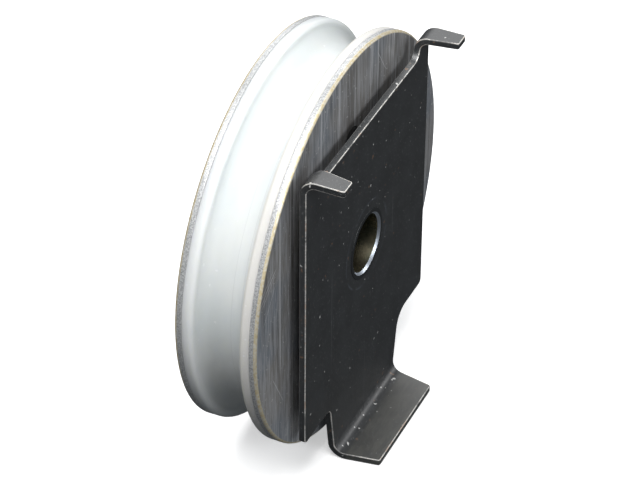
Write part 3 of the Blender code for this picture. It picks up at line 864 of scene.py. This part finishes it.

# %% [markdown]
# ## Blackened plate
# The plate has a thin black oxide or paint over smooth sheet. It is almost even, with pale
# dust, a few brown spots, fine handling scratches and a rubbed ring round the bush. The foot is
# painted paler in streaks, partly as wear and partly as a painted sheen from the light above.

# %% Blackened steel and its worn edges


def blackened(name, tint, ring=False):
    paint = Paint(name, Metallic=0.0, IOR=2.1)
    mottle = paint.noise(160, 4, 0.6)
    fine = paint.noise(2400, 2, 0.6)
    dust = paint.step(paint.noise(1800, 2, 0.6), 0.635, 0.67)
    motes = paint.step(paint.noise(950, 1), 0.74, 0.755)
    rust = paint.step(paint.noise(640, 2), 0.70, 0.73)
    lay = paint.stretched((1.0, 1.0, 0.02), (0, math.radians(40), 0))
    hair = paint.step(paint.noise(900, 1, 0.5, lay), 0.69, 0.72)
    dark = [value * 0.65 for value in tint]
    colour = paint.mix(paint.step(mottle, 0.35, 0.65), dark, tint)
    colour = paint.mix(hair * 0.16, colour, (0.20, 0.21, 0.22))
    colour = paint.mix(dust * 0.22, colour, (0.30, 0.31, 0.32))
    colour = paint.mix(motes * 0.9, colour, (0.60, 0.60, 0.58))
    colour = paint.mix(rust * 0.7, colour, (0.20, 0.11, 0.06))
    if ring:
        # The foot is painted paler in streaks: partly wear, partly a painted sheen standing in for the
        # light from above on its top.
        streak = paint.noise(900, 3, 0.6, paint.stretched((0.25, 1.0, 1.0), (0, 0, math.radians(35))))
        foot_sheen_and_wear = paint.step(paint.z, -43.0 * MM, -43.8 * MM) * paint.step(
            paint.y, -1.6 * MM, -3.0 * MM) * (0.55 + 0.45 * paint.step(streak, 0.35, 0.65))
        colour = paint.mix(foot_sheen_and_wear * 0.8, colour, (0.060, 0.060, 0.052))
        r = paint.radius()
        front = paint.step(paint.y, 0.05 * MM, 0.0)
        broken = paint.step(paint.noise(230, 2), 0.42, 0.58)
        rub = paint.band(r, 9.55 * MM, 0.08 * MM, 0.22 * MM) * broken * front
        colour = paint.mix(rub * 0.22, colour, (0.16, 0.19, 0.23))
    paint.feed("Base Color", colour)
    paint.feed("Roughness", 0.40 + 0.14 * mottle + 0.15 * dust)
    paint.bump(fine * 0.4 + mottle * 0.6 + dust * 0.5 - hair * 0.5, 0.02 * MM, 0.35)
    return paint.material


def rubbed_edge():
    paint = Paint("worn_edge", Metallic=0.45)
    patch = paint.noise(260, 3, 0.6)
    fine = paint.noise(1800, 2)
    bare = paint.mix(paint.step(fine, 0.35, 0.65), (0.62, 0.62, 0.60), (0.88, 0.84, 0.78))
    bare = paint.mix(paint.step(patch, 0.56, 0.64) * 0.6, bare, (0.66, 0.45, 0.32))
    colour = paint.mix(paint.step(patch, 0.46, 0.36) * 0.7, bare, (0.07, 0.075, 0.08))
    hidden = paint.step(paint.y, 0.5 * MM, 1.1 * MM)
    under = paint.step(paint.z, -44.7 * MM, -45.1 * MM)
    colour = paint.mix(hidden * 0.8, colour, (0.045, 0.05, 0.055))
    paint.feed("Base Color", paint.mix(under * 0.85, colour, (0.03, 0.033, 0.036)))
    paint.feed("Roughness", 0.34 + 0.16 * fine)
    paint.bump(fine, 0.02 * MM, 0.4)
    return paint.material


wear(plate, blackened("black_satin", (0.0130, 0.0155, 0.0175), True), rubbed_edge())

# %% [markdown]
# ## The bush
# One piece carries three finishes. Its front end is blackened with the plate, the chamfer of
# its bore was rubbed bright by the bolt, and the rest is dull zinc, darker inside the bore.

# %% Bush finish
bush_paint = Paint("swaged_zinc", IOR=1.5)
r = bush_paint.radius()
grain = bush_paint.noise(1500, 3, 0.6)
turning = bush_paint.noise(3000, 2, 0.6, bush_paint.node("ShaderNodeCombineXYZ", {}, {
    0: r, 1: bush_paint.y}))
zinc = bush_paint.mix(bush_paint.step(grain, 0.35, 0.65), (0.38, 0.37, 0.33), (0.56, 0.56, 0.52))
inside = bush_paint.step(r, 6.16 * MM, 6.11 * MM)
stain = bush_paint.step(bush_paint.noise(140, 3), 0.38, 0.62)
dark_bore = bush_paint.mix(stain, (0.12, 0.13, 0.095), (0.28, 0.25, 0.17))
zinc = bush_paint.mix(inside, zinc, dark_bore)
front_face = bush_paint.step(bush_paint.y, 0.10 * MM, 0.04 * MM) * bush_paint.step(
    r, 6.56 * MM, 6.62 * MM)
chamfer = bush_paint.step(bush_paint.y, 0.5 * MM, 0.42 * MM) * bush_paint.step(
    r, 6.62 * MM, 6.58 * MM) * bush_paint.step(r, 6.10 * MM, 6.14 * MM)
zinc = bush_paint.mix(chamfer, zinc, (0.72, 0.78, 0.86))
bush_paint.feed("Base Color", bush_paint.mix(front_face, zinc, (0.0150, 0.0168, 0.0185)))
bush_paint.feed("Metallic", 1 - front_face)
bush_paint.feed("Roughness", 0.36 + 0.10 * grain)
bush_paint.bump(turning * 0.6 + grain * 0.3, 0.02 * MM, 0.4)
wear(bush, bush_paint.material)

# %% [markdown]
# ## The remaining steels
# The bearing's rings are ground and its balls polished, the shields, cage and spacer are zinc
# or bare sheet, and the rivets were ground flush with the discs. One recipe serves them all,
# with lathe rings or a random grain, and its own colours, gloss and staining.

# %% Small steel parts


def steel_finish(name, light, dark, gloss, lathe=True, metallic=1.0):
    paint = Paint(name, Metallic=metallic)
    if lathe:
        at = paint.node("ShaderNodeCombineXYZ", {}, {0: paint.radius(), 1: paint.y})
        lay = paint.noise(3600, 3, 0.6, at)
    else:
        lay = paint.noise(2600, 3, 0.65, paint.stretched((1, 1, 0.05), (0, math.radians(12), 0)))
    grain = paint.noise(1300, 3, 0.6)
    stain = paint.step(paint.noise(120, 3), 0.42, 0.66)
    specks = paint.step(paint.noise(1500, 1), 0.74, 0.77)
    colour = paint.mix(paint.step(lay, 0.3, 0.7), dark, light)
    colour = paint.mix(stain * 0.35, colour, [value * 0.6 for value in dark])
    colour = paint.mix(specks * 0.4, colour, (0.8, 0.8, 0.78))
    paint.feed("Base Color", colour)
    paint.feed("Roughness", gloss + 0.10 * stain + 0.05 * grain)
    paint.bump(lay * 0.6 + grain * 0.3, 0.02 * MM, 0.35)
    return paint.material


bearing_finish = steel_finish("ground_bearing", (0.62, 0.63, 0.64), (0.46, 0.47, 0.48), 0.20)
ball_finish = steel_finish("polished_ball", (0.72, 0.73, 0.74), (0.64, 0.65, 0.66), 0.08, False)
cage_finish = steel_finish("pressed_cage", (0.56, 0.54, 0.49), (0.42, 0.40, 0.36), 0.32, False)
zinc_finish = steel_finish("dull_zinc", (0.56, 0.55, 0.50), (0.40, 0.39, 0.35), 0.34)
rivet_finish = steel_finish("ground_rivet", (0.50, 0.50, 0.51), (0.32, 0.32, 0.33), 0.34, False)
spring_finish = steel_finish("black_spring", (0.085, 0.085, 0.09), (0.045, 0.045, 0.05), 0.34, False)

for ring in (outer_ring, inner_ring):
    wear(ring, bearing_finish)
for rivet in rivets:
    wear(rivet, rivet_finish)
wear(spacer, zinc_finish)
wear(clip, spring_finish)
for pressed in shields:
    wear(pressed, zinc_finish)
for node, material in (("cage_front_half", cage_finish), ("cage_rear_half", cage_finish)):
    wear(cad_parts[node], material)
for number in range(1, 10):
    wear(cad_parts[f"ball_{number}"], ball_finish)

# %% [markdown]
# ## The camera and the studio
# The camera looks down on the wheel from its left, a little in front of the plate, through a
# long lens. A soft key light hangs above on the left, and weaker panels stand round the object:
# one behind on the right for the folded tabs to mirror, a faint one on the left, one in front
# for the steel faces, and a narrow strip for the highlight along the foot's bend.

# %% Camera
deselect_all()
bpy.ops.object.camera_add(location=(-0.41905, -0.18357, 0.35736))
camera = bpy.context.object
camera.data.lens = 164.94
camera.data.sensor_width = 36
camera.data.clip_start = 0.01
camera.data.clip_end = 20
camera.rotation_euler = [math.radians(turn) for turn in (52.06, -0.36, -64.91)]
bpy.context.scene.camera = camera
print("camera with a", round(camera.data.lens), "mm lens")
bpy.context.scene.view_settings.view_transform = "Standard"

# %% Lights


def panel(name, at, aim_at, size, power, colour=(1, 1, 1)):
    """A soft rectangular light at a place, turned to face another."""
    deselect_all()
    bpy.ops.object.light_add(type="AREA", location=at)
    light = bpy.context.object
    light.name = name
    light.data.shape = "RECTANGLE"
    light.data.size = size[0]
    light.data.size_y = size[1]
    light.data.energy = power
    light.data.color = colour
    light.rotation_euler = (Vector(aim_at) - Vector(at)).to_track_quat("-Z", "Y").to_euler()
    return light


middle = Vector((0, wheel_middle, 0))
panel("key_light", (-0.27, -0.02, 0.66), middle, (0.45, 0.45), 6.6)
panel("right_panel", (0.50, 0.22, 0.42), middle, (0.45, 0.45), 1.45)
panel("left_fill", (-0.70, -0.10, 0.10), middle, (0.30, 0.50), 0.14, (0.93, 0.97, 1.0))
panel("bend_strip", (0.55, -0.47, 0.20), middle, (0.14, 0.30), 0.8)
panel("front_fill", (-0.22, -0.65, 0.32), middle, (0.40, 0.30), 1.9, (0.95, 0.97, 1.0))

world = bpy.data.worlds.new("studio")
bpy.context.scene.world = world
world.use_nodes = True
sky = world.node_tree.nodes["Background"]
sky.inputs["Color"].default_value = (0.9, 0.95, 1.0, 1)
sky.inputs["Strength"].default_value = 0.07

# %% [markdown]
# ## The floor
# The floor is plain and pale, and glows a little so that its shadows stay soft. A floor this
# bright would light the wheel from below and show in the steel, so it is hidden from bounced
# and mirrored rays, and the object keeps its dark undersides.

# %% Floor
deselect_all()
bpy.ops.mesh.primitive_plane_add(size=6, location=(0, 0, cad_low.z - 0.2 * MM))
floor = bpy.context.object
floor.name = "studio_floor"
floor_paint = bpy.data.materials.new("floor_paint")
floor_paint.use_nodes = True
floor_shader = floor_paint.node_tree.nodes["Principled BSDF"]
floor_shader.inputs["Base Color"].default_value = (0.9, 0.9, 0.9, 1)
floor_shader.inputs["Roughness"].default_value = 0.9
floor_shader.inputs["Emission Color"].default_value = (1, 1, 1, 1)
floor_shader.inputs["Emission Strength"].default_value = 0.45
floor.data.materials.append(floor_paint)
floor.visible_diffuse = False
floor.visible_glossy = False
print("floor at", round(floor.location.z / MM, 1), "mm")
